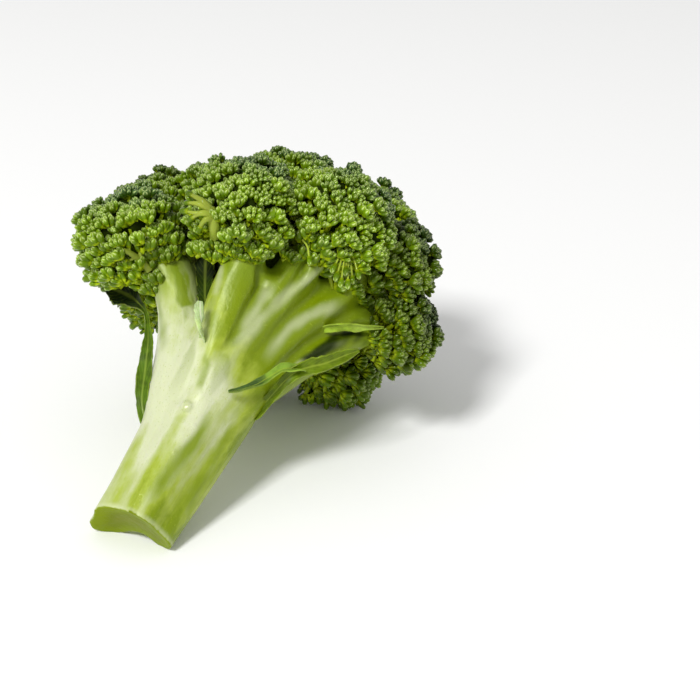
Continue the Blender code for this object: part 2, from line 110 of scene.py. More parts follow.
# Grooves between the branches, with heights below zero, and ridges along them: the height where each starts
# and where it ends, its half width, and the places that it runs through.
FOLDS = (
    (-3.4, -0.6, 2.0, (-6.3, -24.8, 107.1), (-3.7, -22.9, 98.7), (-1.5, -21, 94.2), (-1.1, -20.6, 85.5),
     (-0.8, -19.8, 78), (-0.6, -18.7, 71), (-1.8, -17.7, 62)),
    (-3.6, -0.5, 2.1, (8.7, -26.4, 115.4), (8.4, -25.4, 111.6), (9.6, -22.5, 103.8), (7.6, -20.1, 92.3),
     (3.6, -18.9, 82.4), (1.1, -18.3, 74), (-1, -18.3, 66.6)),
    (-1.8, -0.5, 2.6, (25.4, -14.9, 118.5), (21.7, -14.9, 111.5), (17.5, -14.8, 103.4), (13.8, -15.3, 94),
     (11.1, -15.6, 83.1), (7.9, -15.1, 68)),
    (-3.2, -0.6, 2.0, (44.1, -5.4, 110.3), (34.3, -8.4, 101.4), (26.3, -9.7, 93.3), (22.7, -10.7, 86.1),
     (18.1, -10.9, 70.7)),
    (-0.4, -0.8, 2.0, (-9.6, -17, 68.8), (-7.9, -16.5, 63.4), (-6.5, -13.5, 50.3), (-7.1, -11.4, 44.4)),
    (1.4, 0.5, 2.2, (15.3, -22, 117.3), (14.6, -20.4, 112.6), (11.9, -21.2, 104.5), (9, -20.9, 97.4),
     (6.8, -20, 90.1), (4.5, -18.9, 83), (2.4, -17.6, 73.3), (0.6, -17.2, 63.7), (-0.4, -15.1, 48.7)),
    (1.0, 0.4, 2.4, (30, -12.5, 112), (24.5, -12.5, 102), (20, -12.8, 92.5), (16.8, -12.9, 80),
     (15, -12.2, 66)),
)
# Drops of water on the stalk: middle and width.
DEW = (
    (-3.4, -13.8, 42.9, 4.4), (-13.5, -13.2, 66.0, 1.6), (-11.2, -12.6, 55.5, 1.5), (2.5, -14.2, 38.0, 1.3),
    (8.6, -13.6, 37.0, 1.7), (-21.0, -13.0, 79.0, 1.8), (0.8, -13.4, 26.5, 1.4), (5.4, -13.8, 29.5, 1.2),
)

# Florets by node: azimuth and lean of the branch, reach from the hub, radius across it and along it.
FLORETS = {
    "left": (184, 55, 65, 22, 19),
    "front_left": (238, 33, 67, 21.5, 19.5),
    "front": (293, 24, 78, 22, 19),
    "right": (348, 26, 86, 19, 18),
    "low_right": (1, 41, 78, 17, 15),
    "top": (170, 6, 88, 22, 18),
    "top_left": (163, 41, 81, 19, 17),
    "top_right": (28, 14, 102, 20, 16),
    "middle": (90, 19, 87, 21, 17),
    "middle_left": (165, 25, 78, 22.5, 17),
    "middle_right": (56, 28, 91, 19, 17),
    "outer_right": (23, 32, 87, 18, 16),
    "back_left": (135, 48, 72, 21, 18),
    "back": (90, 46, 75, 24, 20),
    "back_right": (52, 44, 82, 21.5, 18),
}

# Painted shade on some florets: the brightness of their buds, as a share of the others'.
PAINTED_FLORET_SHADE = {
    "right": 0.5, "low_right": 0.4, "outer_right": 0.7, "back_right": 0.55, "left": 0.95, "front_left": 1.0,
    "top": 0.8, "top_left": 0.7, "top_right": 0.85, "middle": 0.85, "middle_left": 0.8, "back_left": 0.7,
}
# Clusters that hang below a floret's own form, in front of the branches' tops.
HANGING = {
    "left": ((-40, -4.6, 82.5), (-38.1, -4.6, 83.7), (-42.7, 0.2, 87.8), (-39.6, -9.5, 86.2),
             (-43.3, -9.7, 88.5), (-41, -9.9, 91.7), (-43.8, -14.7, 91.4), (-40.1, -14.2, 94.5),
             (-38, -14.2, 96.7)),
    "front_left": ((-30.8, -24.1, 96.3), (-27.5, -26, 97), (-23.5, -25, 96.5), (-19.7, -26, 98),
                   (-16.1, -28.4, 100.5), (-11.6, -30.2, 101.3), (-8.1, -29.3, 102.6), (-5.4, -35.5, 102.9),
                   (-3.5, -35.6, 107.2)),
    "front": ((0.2, -27.2, 112.6), (4.7, -27.1, 111.7), (7.1, -28.6, 114.6), (12, -27.8, 114.8),
              (16.9, -20.9, 116.1), (22, -16.1, 119), (27, -16.7, 117), (31.4, -14.4, 117.6),
              (34.7, -9.5, 119), (38.8, -5.7, 119.5)),
}

# Stems bared where buds broke off: half width at each end, then the places that each bends through. They
# lie in front of the floret's solid, and have a bud at their ends.
STEMS = {
    "front_left": (
        (2.2, 1.9, (-23.1, -30, 98.5), (-23.7, -37, 97.2), (-26, -41, 98.9), (-28.3, -42.5, 100.7)),
        (1.9, 0.6, (-27, -42, 99.9), (-31.7, -44, 100.8), (-37, -41, 102.6)),
        (1.6, 0.5, (-27.5, -42, 100.1), (-32.1, -43.5, 99.5), (-36.3, -40, 99.5)),
        (1.6, 0.5, (-26.5, -41.5, 99.1), (-30, -43, 97), (-32.5, -38.5, 95.5)),
        (1.5, 0.5, (-25.8, -41, 98.5), (-27.7, -42, 95.9), (-28.3, -38, 93.7)),
        (1, 0.45, (-28.9, -42, 98.3), (-31.5, -42.5, 96.4), (-35.9, -39, 96.7)),
    ),
    "left": (
        (1.7, 0.8, (-39.9, -8.5, 84.7), (-42.8, -11, 85), (-45.5, -14, 84.2), (-48.4, -17, 83.1),
         (-51, -18.5, 82)),
        (0.9, 0.4, (-43.1, -11.5, 84.8), (-44.8, -14.5, 85.8), (-46.6, -16.5, 86.8)),
        (0.9, 0.4, (-45.5, -14, 84.2), (-46.6, -13.5, 82.9), (-47.9, -12.5, 81.3)),
        (0.7, 0.4, (-47.7, -16.5, 83.3), (-49.1, -17.5, 84.5), (-50.1, -18.5, 85.8)),
    ),
}
STEM_CLEAR = 2.2  # how near to such a stem no cluster grows
# Shares of full light: on what hangs below the head, on bared stems and on tassels, and the least that a
# cluster grows in.
HANGING_LIGHT, STEM_LIGHT, TASSEL_LIGHT, LEAST_LIGHT = 0.4, 0.52, 0.8, 0.1
CLUSTER_TRIES = 2600  # random places tried for each floret's clusters
# A cluster's buds, its height and, in degrees, its spread: at the head's sides, and what its top adds.
BUDS_EACH, DOME, SPREAD = (12, 2.5), (6.6, -2.4), (42, 25)
# How deep a floret's dark core lies inside its solid, how much deeper where it lies open, and the least that
# it reaches from the floret's middle.
CORE_SUNK, CORE_OPEN, CORE_LEAST = 1.2, 2.4, 2.0
# The rays that look for what hides the sky from a place: how many, how far off they start and how far they
# reach, their turns round the outward direction, and their least lean from it and what they add to that.
OPEN_RAYS, OPEN_START, OPEN_REACH, OPEN_TURNS, OPEN_LEAN = 14, 1.4, 30.0, 2.4, (0.35, 0.95)
TASSEL_ENDS = (0.42, 0.36)  # half widths of a tassel's stems
TASSEL_BEND = (0, -1.2, 0.8)  # how far the middle of such a stem bows out
# Single buds on long pale stems: where the stems leave the floret, then where each bud hangs.
TASSELS = (
    ((18.2, -31, 119), (21.4, -34, 104.6), (23.8, -34, 103.3), (26.2, -33.5, 104.3), (26.9, -33, 107),
     (19.1, -33.5, 107.2), (27.8, -32.5, 110.2), (23.4, -34.5, 108)),
    ((4.4, -30, 113.5), (10.2, -32.5, 106)),
)

# Leaves by node: the midrib's points, the widths to its left and right at even steps along it, the way that
# the leaf faces, and how far it is cupped and toothed, as shares of its width.
LEAVES = {
    "leaf_left": (
        ((-13, -1, 34), (-18.8, -2, 41.5), (-23.6, -2, 53), (-27.4, -2, 62), (-31.2, 0, 69.2),
         (-34.6, 3, 74.5), (-38.8, 6, 77.7), (-43.2, 9, 80), (-48, 12, 81), (-54, 15, 81)),
        (1.5, 2.6, 3.4, 2.2, 1.0, 1.0, 3.0, 7.5, 6.5, 1.0),
        (2.2, 3.2, 3.2, 2.4, 1.1, 1.0, 2.0, 4.6, 4.4, 1.0),
        (-0.3, -0.9, -0.2), 0.3, 0.16,
    ),
    "leaf_right": (
        ((11, 1, 53), (17.6, -2, 56.5), (19.6, -6, 60.5), (21.0, -10, 64.5), (22.3, -13.5, 68.5),
         (24.6, -15.5, 73.5), (28.2, -15.8, 77.6), (32.2, -15.6, 81.6), (37.1, -14.5, 88.5),
         (40.7, -13.5, 93.4)),
        (1.6, 2.0, 2.0, 2.0, 2.2, 2.6, 3.4, 3.2, 2.4, 0.6),
        (1.6, 2.6, 2.4, 2.2, 2.2, 2.8, 3.2, 3.0, 2.2, 0.6),
        (0.2, -0.9, -0.3), 0.45, 0.12,
    ),
    "leaf_upper": (
        ((22, -5, 93.5), (25.5, -9.5, 96.2), (30.4, -11, 99.7), (35, -10.6, 102.3), (39.6, -9.6, 105.4),
         (44.9, -7.6, 109.2)),
        (1.2, 1.6, 1.8, 1.6, 1.2, 0.4),
        (1.2, 1.8, 2.2, 2.0, 1.4, 0.4),
        (0.5, -0.5, -0.7), 0.4, 0.1,
    ),
    "leaf_inner": (
        ((-9, -7, 74), (-13.5, -10, 78.5), (-17, -9.3, 84.5), (-20, -6.3, 91), (-23, -3, 98),
         (-26, 0, 105), (-26.5, 0.5, 108.5)),
        (1.4, 2.2, 3.4, 4.2, 5.0, 5.0, 2.6),
        (1.4, 2.2, 3.2, 3.8, 4.6, 4.8, 2.6),
        (0.0, -0.9, -0.44), 0.2, 0.25,
    ),
    "bract": (
        ((-8, -13, 66), (-10.4, -19, 67.6), (-12.6, -23.6, 69.4), (-14.8, -25.0, 72.4),
         (-16.6, -25.2, 75.6)),
        (1.2, 2.2, 3.0, 2.6, 1.0),
        (1.2, 2.2, 2.8, 2.4, 1.0),
        (0.0, -0.8, 0.6), -0.45, 0.16,
    ),
}
VEIN_GAP = 3.0  # from one side vein to the next
BLADE_GRID = (12, 72)  # faces across a blade and along it
# The lobe at the foot of the right-hand leaf's blade, which turns back over the stalk.
AURICLE = (
    ((26.5, -15.6, 75.5), (23.4, -16.6, 73.6), (19.9, -17.2, 71.0), (17.3, -17.4, 66.4),
     (14.5, -17.6, 61.0), (10.5, -18, 56.2), (7.2, -18, 53.4)),
    (2.0, 2.4, 2.4, 2.2, 1.9, 1.4, 0.5),
    (2.0, 2.2, 2.0, 1.8, 1.6, 1.2, 0.5),
    (-0.3, -0.9, 0.3), 0.45, 0.05,
)

CAMERA_AT = Vector((-0.46326, -0.29742, 0.32188))
CAMERA_TURN = Euler([math.radians(angle) for angle in (62.9227, -0.8234, -61.1148)])
LENS, SENSOR = 85, 36  # millimetres
# The lights, metres to the right of the head, above it and nearer the camera, and their sizes.
LIT_AT = Vector((0, 0, 0.05))
KEY_AT, KEY_SIZE = (-0.86, 1.08, 2.24), 0.56
FILL_AT, FILL_SIZE = (1.2, 0.3, 0.8), 1.2


# ---- Small helpers ----
def linear(code):
    """An sRGB hex colour as linear values."""
    shares = [int(code[i:i + 2], 16) / 255 for i in (1, 3, 5)]
    return tuple(c / 12.92 if c <= 0.04045 else ((c + 0.055) / 1.055) ** 2.4 for c in shares)


def grown_to_world():
    """The matrix that lays the head down: from millimetres as it grew to metres in the world."""
    up = -RESTING_SIDE.normalized()
    along = (UP - up * up.z).normalized()
    turn = Matrix((along, up.cross(along), up)).to_4x4()
    return Matrix.Scale(MM, 4) @ Matrix.Translation(CUT_AT) @ turn


GROWN = grown_to_world()
TO_GROWN = GROWN.inverted()


def direction(azimuth, lean):
    """A direction that leans from the growth axis toward an azimuth, both in degrees."""
    a, b = math.radians(azimuth), math.radians(lean)
    return Vector((math.sin(b) * math.cos(a), math.sin(b) * math.sin(a), math.cos(b)))


def floret_axis(name):
    """The way that a floret's branch points."""
    return direction(*FLORETS[name][:2])


def floret_middle(name):
    """The middle of a floret."""
    return HUB + floret_axis(name) * FLORETS[name][2]


def rows(items, name, width, kind=float):
    """A value of each point, edge or triangle of a mesh, one to a row."""
    found = np.empty(len(items) * width, kind)
    items.foreach_get(name, found)
    return found.reshape(-1, width)


def triangles(mesh):
    """The numbers of each triangle's three corners."""
    mesh.calc_loop_triangles()
    return rows(mesh.loop_triangles, "vertices", 3, int)


def moved(matrix, points):
    """Points moved by a matrix."""
    m = np.array(matrix)
    return points @ m[:3, :3].T + m[:3, 3]


def grown_points(mesh):
    """A mesh's points, in millimetres in the frame that the head grew in."""
    return moved(TO_GROWN, rows(mesh.vertices, "co", 3))


def grown_normals(mesh):
    """The outward direction at each point of a mesh, in the same frame."""
    return rows(mesh.vertices, "normal", 3) @ np.array(TO_GROWN.to_3x3().normalized()).T


def smoothstep(low, high, value):
    """A smooth rise from 0 to 1 between two values, or a fall if the first is the higher."""
    t = np.clip((value - low) / (high - low), 0, 1)
    return t * t * (3 - 2 * t)


def store(mesh, name, values):
    """A point attribute: four numbers a point are a colour, and three are a vector."""
    values = np.asarray(values, np.float32)
    if values.shape[1] == 4:
        mesh.color_attributes.new(name, "FLOAT_COLOR", "POINT").data.foreach_set("color", values.ravel())
    else:
        mesh.attributes.new(name, "FLOAT_VECTOR", "POINT").data.foreach_set("vector", values.ravel())


def alone(piece):
    """Leaves this object alone selected, and active."""
    bpy.ops.object.select_all(action="DESELECT")
    piece.select_set(True)
    bpy.context.view_layer.objects.active = piece


def add_piece(name, mesh, material):
    """A new object in the scene, with its mesh and one material."""
    piece = bpy.data.objects.new(name, mesh)
    bpy.context.scene.collection.objects.link(piece)
    mesh.materials.clear()
    mesh.materials.append(material)
    return piece


def stands_for(piece, node):
    """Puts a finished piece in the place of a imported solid."""
    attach(piece, "root")
    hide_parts(node)


def connect(node, inputs):
    """Gives inputs, by name or number, a value, or a link from a socket or a node's first live output."""
    for name, value in inputs.items():
        if isinstance(value, bpy.types.Node):
            value = next(socket for socket in value.outputs if socket.enabled)
        if isinstance(value, bpy.types.NodeSocket):
            node.id_data.links.new(value, node.inputs[name])
        else:
            node.inputs[name].default_value = value


def add_node(tree, kind, inputs=(), stops=(), **settings):
    """Adds a shader node with its settings, its inputs in order or by name, and a ramp's stops."""
    made = tree.nodes.new("ShaderNode" + kind)
    for name, value in settings.items():
        setattr(made, name, value)
    connect(made, inputs if isinstance(inputs, dict) else dict(enumerate(inputs)))
    for i, (place, colour) in enumerate(stops):
        elements = made.color_ramp.elements
        element = elements[i] if i < 2 else elements.new(place)
        element.position = place
        element.color = (*colour, 1)
    return made


def new_material(name):
    """A material with a Principled BSDF alone, the way to add a node to it, and that BSDF."""
    made = bpy.data.materials.new(name)
    made.use_nodes = True
    tree = made.node_tree
    tree.nodes.clear()
    shader = add_node(tree, "BsdfPrincipled")
    output = add_node(tree, "OutputMaterial")
    connect(output, {0: shader})
    return made, partial(add_node, tree), shader


# ---- Settings ----
def length_setting(name, description, default, least):
    """A setting that is a length in metres."""
    return bpy.props.FloatProperty(
        name=name, description=description, default=default, min=least, unit="LENGTH")


def colour_setting(name, description, code):
    """A setting that is a colour, with its default as an sRGB hex."""
    return bpy.props.FloatVectorProperty(
        name=name, description=description, default=linear(code), subtype="COLOR", size=3)


class StageSettings(bpy.types.PropertyGroup):
    floor_size: length_setting("Floor size", "Side of the square floor", 6.0, 0.5)
    floor_colour: colour_setting("Floor", "Colour of the plain floor", "#FFFFFE")
    key_watts: bpy.props.FloatProperty(
        name="Key light", description="Power of the large soft light", default=51.0, min=0.0)
    fill_watts: bpy.props.FloatProperty(
        name="Fill light", description="Power of the light on the other side", default=0.9, min=0.0)
    sky: bpy.props.FloatProperty(
        name="Sky", description="Strength of the even light from all round", default=0.52, min=0.0)


class StalkSettings(bpy.types.PropertyGroup):
    ridge: length_setting("Ridges", "Height of the long ridges on the skin", 0.00025, 0.0)
    # Pale skin is also the colour of the painted highlights along the ridges.
    pale: colour_setting("Pale skin", "Where the wax is thick", "#CDD2AE")
    green: colour_setting("Green skin", "Streaks between the ridges", "#A0B03A")
    deep: colour_setting("Deep green skin", "The darkest streaks", "#788C04")
    # The cut's rind and pith colours are painted darker, as shade on the cut end.
    rind: colour_setting("Rind", "The ring round the cut", "#7E8F00")
    pith: colour_setting("Pith", "The middle of the cut", "#7C8626")


class FloretSettings(bpy.types.PropertyGroup):
    top_bud: length_setting("Bud on top", "Width of the closed buds on top of the head", 0.0020, 0.001)
    side_bud: length_setting("Bud at the sides", "Width of the riper buds at the sides", 0.0023, 0.001)
    pitch: length_setting("Cluster pitch", "From one cluster of buds to the next", 0.0045, 0.003)
    seed: bpy.props.IntProperty(
        name="Seed", description="Sets every random draw of the florets", default=11)
    stem: colour_setting("Bud stems", "Thin stems under the buds", "#B3C81C")
    flesh: colour_setting("Bared stems", "Stems bared where buds broke off", "#A2B23E")
    side: colour_setting("Bud sides", "The lower half of a bud", "#648207")
    shaded: colour_setting("Bud sides on top", "The lower half of a bud on top", "#2E4A0B")
    ripe: colour_setting("Bud tips", "Tips of the buds at the sides", "#7C9812")
    # The wax colour is painted on the buds' tips as highlights.
    wax: colour_setting("Wax", "Pale wax where a bud's sepals meet", "#CBDC8C")
    bloom: colour_setting("Bloom", "The bluish wax on the buds on top", "#43633C")


class LeafSettings(bpy.types.PropertyGroup):
    thickness: length_setting("Blade", "Thickness of a blade", 0.0005, 0.0002)
    blade: colour_setting("Leaf", "The left leaf's blade", "#3E560A")
    vein: colour_setting("Veins", "Midrib and side veins", "#A3B53E")
    tip: colour_setting("Leaf tip", "The left leaf's dark bluish tip", "#121E0E")


# ---- Materials ----
SMOOTH = {"interpolation_type": "SMOOTHSTEP"}
# Painted shade colours: under the crown, and in the dark gaps between the branches.
SHADED_SKIN, GAP_SHADE_SKIN = linear("#7A9020"), linear("#1E2C02")
# Noises of the stalk's skin: waves to a millimetre across the fibres and along them, and detail.
STALK_NOISES = (
    (1.5, 0.06, 3.0), (0.42, 0.22, 3.0), (2.2, 1.2, 1.0), (0.085, 0.016, 2.0), (0.16, 0.028, 1.5),
)
# Leaves by name: their material, the colours of its blade and tip, and how strong its veins are.
LEAF_SKINS = {
    "leaf_right": ("sunlit_leaf", "#4F6208", "#586C0A", 0.45),
    "leaf_upper": ("leaf_stem", "#7C9426", "#8CA23C", 0.4),
    "leaf_inner": ("shaded_leaf", "#26370A", "#1A260A", 0.3),
    "auricle": ("curled_leaf", "#6A862A", "#3C5626", 0.6),
}
BRACT_BLADE, BRACT_TIP, BRACT_VEIN = linear("#9BAE6C"), linear("#9DB07A"), linear("#E6ECCB")


def waxy_stalk_skin(s):
    """Living stem skin: a pale coat of wax rubbed through to the olive under it, with painted light and
    painted shade.
    """
    made, node, shader = new_material("waxy_stalk_skin")
    marks = node("Attribute", attribute_name="stalk_marks")
    flesh, ring, strip = node("SeparateColor", {0: marks}).outputs
    height = marks.outputs["Alpha"]
    painted_shade_and_dew = node("Attribute", attribute_name="painted_shade_and_dew").outputs["Vector"]
    crown_shade, wet, gap_shade = node("SeparateXYZ", {0: painted_shade_and_dew}).outputs
    grain = node("Attribute", attribute_name="grain").outputs["Vector"]
    side = node("SeparateXYZ", {0: grain}).outputs[0]
    fields = []
    for across, along, detail in STALK_NOISES:
        at = node("VectorMath", (grain, (across, across, along)), operation="MULTIPLY")
        fields.append(node("TexNoise", {"Vector": at, "Scale": 1.0, "Detail": detail, "Roughness": 0.55}))
    fibre, blotch, fleck, broad, patch = fields
    # The wax lies thick on the side that faced up, and thins toward the other side, at the foot and up the
    # branches. The paler side is also the lit side, so that change is partly painted light, and the
    # darkening up the branches is partly painted shade under the crown.
    wax_and_painted_light = broad
    for place, low, high, first, last in (
        (side, -8.0, 12.0, 0.17, -0.17), (height, 0.05, 0.42, -0.10, 0.08), (height, 0.58, 0.85, 0.0, -0.3),
    ):
        change = node("MapRange", (place, low, high, first, last))
        wax_and_painted_light = node("Math", (wax_and_painted_light, change), operation="ADD")
    for field, weight in ((blotch, 0.18), (fibre, 0.06)):
        wax_and_painted_light = node("Math", (field, weight, wax_and_painted_light), operation="MULTIPLY_ADD")
    skin = node("ValToRGB", {0: wax_and_painted_light}, stops=(
        (0.46, s.deep), (0.78, s.pale), (0.56, s.green), (0.66, linear("#B4BF7A")),
    ))
    pitted = node("MapRange", (fleck, 0.64, 0.72, 0.0, 0.4))
    # Patches 4 mm by 30 mm where the wax has come off, most of them up the branches.
    patched = node("MapRange", (patch, 0.57, 0.64, 0.0, 0.45), **SMOOTH)
    above = node("MapRange", (height, 0.42, 0.68, 0.12, 1.0))
    patched = node("Math", (patched, above), operation="MULTIPLY")
    # The strips, worn olive with painted shade in the creases, fade in and out along the fibres.
    uneven = node("MapRange", (patch, 0.32, 0.6, 0.55, 0.95))
    strips = node("Math", (strip, uneven), operation="MULTIPLY")
    worn_with_crease_shade = node("Math", (patched, strips), operation="MAXIMUM")
    # Painted shade under the crown.
    painted_crown_shade = node("MapRange", (crown_shade, 0.4, 0.95, 0.0, 0.6), **SMOOTH)
    # Painted highlights and the pale lip round the cut take the pale skin colour.
    highlight_and_pale_lip = node("Math", (ring, 0.52), operation="MULTIPLY")
    for share, colour in (
        (pitted, s.green), (worn_with_crease_shade, s.deep), (painted_crown_shade, SHADED_SKIN), (highlight_and_pale_lip, s.pale), (gap_shade, GAP_SHADE_SKIN),
    ):
        skin = node("Mix", {0: share, 6: skin, 7: (*colour, 1)}, data_type="RGBA")
    # The cut: an olive rind round a paler pith, both painted darker as shade on the cut end.
    speckle = node("TexNoise", {"Vector": grain, "Scale": 0.9, "Detail": 4.0, "Roughness": 0.7})
    ringed = node("Math", (speckle, 0.25, ring), operation="MULTIPLY_ADD")
    cut = node("ValToRGB", {0: ringed}, stops=((0.3, s.rind), (1.0, s.pith), (0.6, linear("#76840A"))))
    colour = node("Mix", {0: flesh, 6: skin, 7: cut}, data_type="RGBA")
    dull = node("MapRange", (wax_and_painted_light, 0.5, 0.8, 0.36, 0.52))
    rough = node("Mix", {0: wet, 2: dull, 3: 0.04})
    dry = node("MapRange", (flesh, 0.0, 1.0, 0.45, 0.12))
    grit = node("Math", (blotch, 2.0, fibre), operation="MULTIPLY_ADD")
    bump = node("Bump", {"Strength": 0.5, "Distance": 0.0003, "Height": grit})
    wax = node("MapRange", (flesh, 0.0, 1.0, 0.15, 0.0))
    coat = node("Math", (wax, wet), operation="MAXIMUM")
    shine = node("Mix", {0: wet, 2: 0.28, 3: 0.02})
    connect(shader, {
        "Base Color": colour, "Roughness": rough, "Normal": bump, "IOR": 1.42, "Specular IOR Level": dry,
        "Specular Tint": (0.9, 1.0, 0.5, 1), "Subsurface Weight": 0.25, "Subsurface Scale": 0.004,
        "Subsurface Radius": (0.8, 1.0, 0.4), "Coat Weight": coat, "Coat Roughness": shine,
    })
    return made


def waxy_bud_skin(s):
    """Closed flower buds: green sepals on fleshy stems, with painted highlights, pale as wax, on the edges
    that meet on each tip.
    """
    made, node, shader = new_material("waxy_bud_skin")
    marks = node("Attribute", attribute_name="bud_marks")
    along, bloom, chance = node("SeparateColor", {0: marks}).outputs
    light = marks.outputs["Alpha"]
    sides = node("Mix", {0: bloom, 6: (*s.side, 1), 7: (*s.shaded, 1)}, data_type="RGBA")
    tips = node("Mix", {0: bloom, 6: (*s.ripe, 1), 7: (*s.bloom, 1)}, data_type="RGBA")
    # From the bared stems' pale flesh to the stem, the sides and the tip of a bud.
    colour = (*s.flesh, 1)
    for low, high, following in ((0.02, 0.1, (*s.stem, 1)), (0.26, 0.5, sides), (0.68, 1.0, tips)):
        share = node("MapRange", (along, low, high), **SMOOTH)
        colour = node("Mix", {0: share, 6: colour, 7: following}, data_type="RGBA")
    # Painted highlights, in the pale wax colour, on the four sepals' edges near the tip: the direction round
    # the bud, doubled, has four crests.
    around = node("Attribute", attribute_name="bud_round").outputs["Vector"]
    east, north, _ = node("SeparateXYZ", {0: around}).outputs
    angle = node("Math", (north, east), operation="ARCTAN2")
    doubled = node("Math", (angle, 2.0), operation="MULTIPLY")
    wave = node("Math", {0: doubled}, operation="COSINE")
    crest = node("Math", {0: wave}, operation="ABSOLUTE")
    painted_highlight_crest = node("MapRange", (crest, 0.70, 0.98, 0.0, 0.75), **SMOOTH)
    upper = node("MapRange", (along, 0.7, 0.92), **SMOOTH)
    edge = node("Math", (painted_highlight_crest, upper), operation="MULTIPLY")
    colour = node("Mix", {0: edge, 6: colour, 7: (*s.wax, 1)}, data_type="RGBA")
    # Each bud is a little lighter or darker than the next, and those inside the head are painted darker as
    # shade.
    own = node("Math", (chance, 0.5, 0.72), operation="MULTIPLY_ADD")
    inside = node("MapRange", (light, 0.0, 0.8, 0.10, 1.08))
    value = node("Math", (own, inside), operation="MULTIPLY")
    lit = node("HueSaturation", {"Value": value, "Color": colour})
    rough = node("MapRange", (light, 0.05, 0.3, 0.9, 0.3))
    coat = node("MapRange", (light, 0.05, 0.3, 0.0, 0.34))
    connect(shader, {
        "Base Color": lit, "Roughness": rough, "IOR": 1.4, "Specular IOR Level": 0.2,
        "Specular Tint": (0.85, 1.0, 0.35, 1), "Subsurface Weight": 0.1, "Subsurface Scale": 0.0008,
        "Subsurface Radius": (0.5, 1.0, 0.2), "Coat Weight": coat, "Coat Roughness": 0.08, "Coat IOR": 1.45,
    })
    return made


def young_leaf_skin(name, blade, tip, vein, veined):
    """Thin waxy leaf: a satin blade, its tip another green, with a pale midrib and side veins 3 mm apart."""
    made, node, shader = new_material(name)
    marks = node("Attribute", attribute_name="leaf_marks")
    across, along, run = node("SeparateColor", {0: marks}).outputs
    # Side veins leave the midrib at a slant: the phase runs along the leaf and out across it.
    phase = node("Math", (across, -3.0, run), operation="MULTIPLY_ADD")
    wave = node("Math", (phase, math.tau), operation="MULTIPLY")
    sine = node("Math", {0: wave}, operation="SINE")
    midrib = node("MapRange", (across, 0.04, 0.2, veined, 0.0), **SMOOTH)
    slant = node("MapRange", (sine, 0.7, 1.0, 0.0, 0.35 * veined), **SMOOTH)
    ribs = node("Math", (midrib, slant), operation="MAXIMUM")
    where = node("TexCoord").outputs["Object"]
    mottle = node("TexNoise", {"Vector": where, "Scale": 300.0, "Detail": 3.0})
    patchy = node("MapRange", (mottle, 0.35, 0.65), **SMOOTH)
    halves = [
        node("Mix", {0: patchy, 6: (*base, 1), 7: (*[c * lighter for c in base], 1)}, data_type="RGBA")
        for base, lighter in ((blade, 1.7), (tip, 1.5))
    ]
    outward = node("MapRange", (along, 0.5, 0.66), **SMOOTH)
    colour = node("Mix", {0: outward, 6: halves[0], 7: halves[1]}, data_type="RGBA")
    edge = node("MapRange", (across, 0.88, 1.0, 0.0, 0.3), **SMOOTH)
    for share in (ribs, edge):
        colour = node("Mix", {0: share, 6: colour, 7: (*vein, 1)}, data_type="RGBA")
    bump = node("Bump", {"Strength": 0.4, "Distance": 0.0003, "Height": ribs})
    connect(shader, {
        "Base Color": colour, "Roughness": 0.4, "Normal": bump, "IOR": 1.4, "Specular IOR Level": 0.35,
        "Specular Tint": (0.85, 1.0, 0.6, 1), "Subsurface Weight": 0.15, "Subsurface Scale": 0.001,
        "Subsurface Radius": (0.6, 1.0, 0.2), "Coat Weight": 0.08,
    })
    return made


# ---- The stalk ----
def flow_coordinates(grown):
    """Coordinates that run with the fibres: the place in the trunk that each point's fibre comes from."""
    height = grown[:, 2]
    radius = np.hypot(grown[:, 0], grown[:, 1])
    levels = np.arange(0.0, height.max() + FLOW_STEP, FLOW_STEP)
    near = [radius[abs(height - level) < FLOW_STEP] for level in levels]
    widest = [np.percentile(found, 90) if len(found) else 0 for found in near]
    widest = np.maximum.accumulate(np.maximum(widest, widest[1]))
    share = widest[1] / np.interp(height, levels, widest)
    return np.column_stack([grown[:, 0] * share, grown[:, 1] * share, height])


def neighbours_of(mesh):
    """Each edge's two points, as pairs in both orders."""
    ends = rows(mesh.edges, "vertices", 2, int)
    return np.concatenate([ends, ends[:, ::-1]])


def relaxed(points, pairs, passes, free=None):
    """Each point moved to the mean of its neighbours, a number of times, where it is free to."""
    count = np.bincount(pairs[:, 0], minlength=len(points))[:, None]
    for _ in range(passes):
        total = np.column_stack([np.bincount(pairs[:, 0], points[pairs[:, 1], k], len(points))
                                 for k in range(points.shape[1])])
        mean = total / np.maximum(count, 1)
        points = mean if free is None else points + (mean - points) * free[:, None]
    return points


def on_knife(grown):
    """How far each point is from the hollow that the knife's cut dried to."""
    middle = np.array((0, 0, CUT_DEPTH - KNIFE_RADIUS))
    return abs(np.linalg.norm(grown - middle, axis=1) - KNIFE_RADIUS)


def stalk_copy(name, material):
    """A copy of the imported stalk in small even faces."""
    piece = add_piece(name, NODES["stalk"].data.copy(), material)
    alone(piece)
    bpy.ops.object.mode_set(mode="EDIT")
    bpy.ops.mesh.select_all(action="SELECT")
    bpy.ops.mesh.remove_doubles(threshold=2e-6)
    bpy.ops.object.mode_set(mode="OBJECT")
    piece.data.remesh_voxel_size = STALK_FACE * MM
    bpy.ops.object.voxel_remesh()
    bpy.ops.object.shade_smooth()
    return piece


def shelter_over(tree, grown):
    """How much of the sky the rest of the head hides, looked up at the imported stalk's nearest corner."""
    mesh = NODES["stalk"].data
    corners, first = np.unique(np.round(grown_points(mesh), 2), axis=0, return_index=True)
    outward = grown_normals(mesh)[first]
    hidden = np.array([1 - openness(tree, corner, way) for corner, way in zip(corners, outward)])
    lookup = KDTree(len(corners))
    for i, corner in enumerate(corners):
        lookup.insert(corner, i)
    lookup.balance()
    return np.array([hidden[lookup.find(point)[1]] for point in grown])


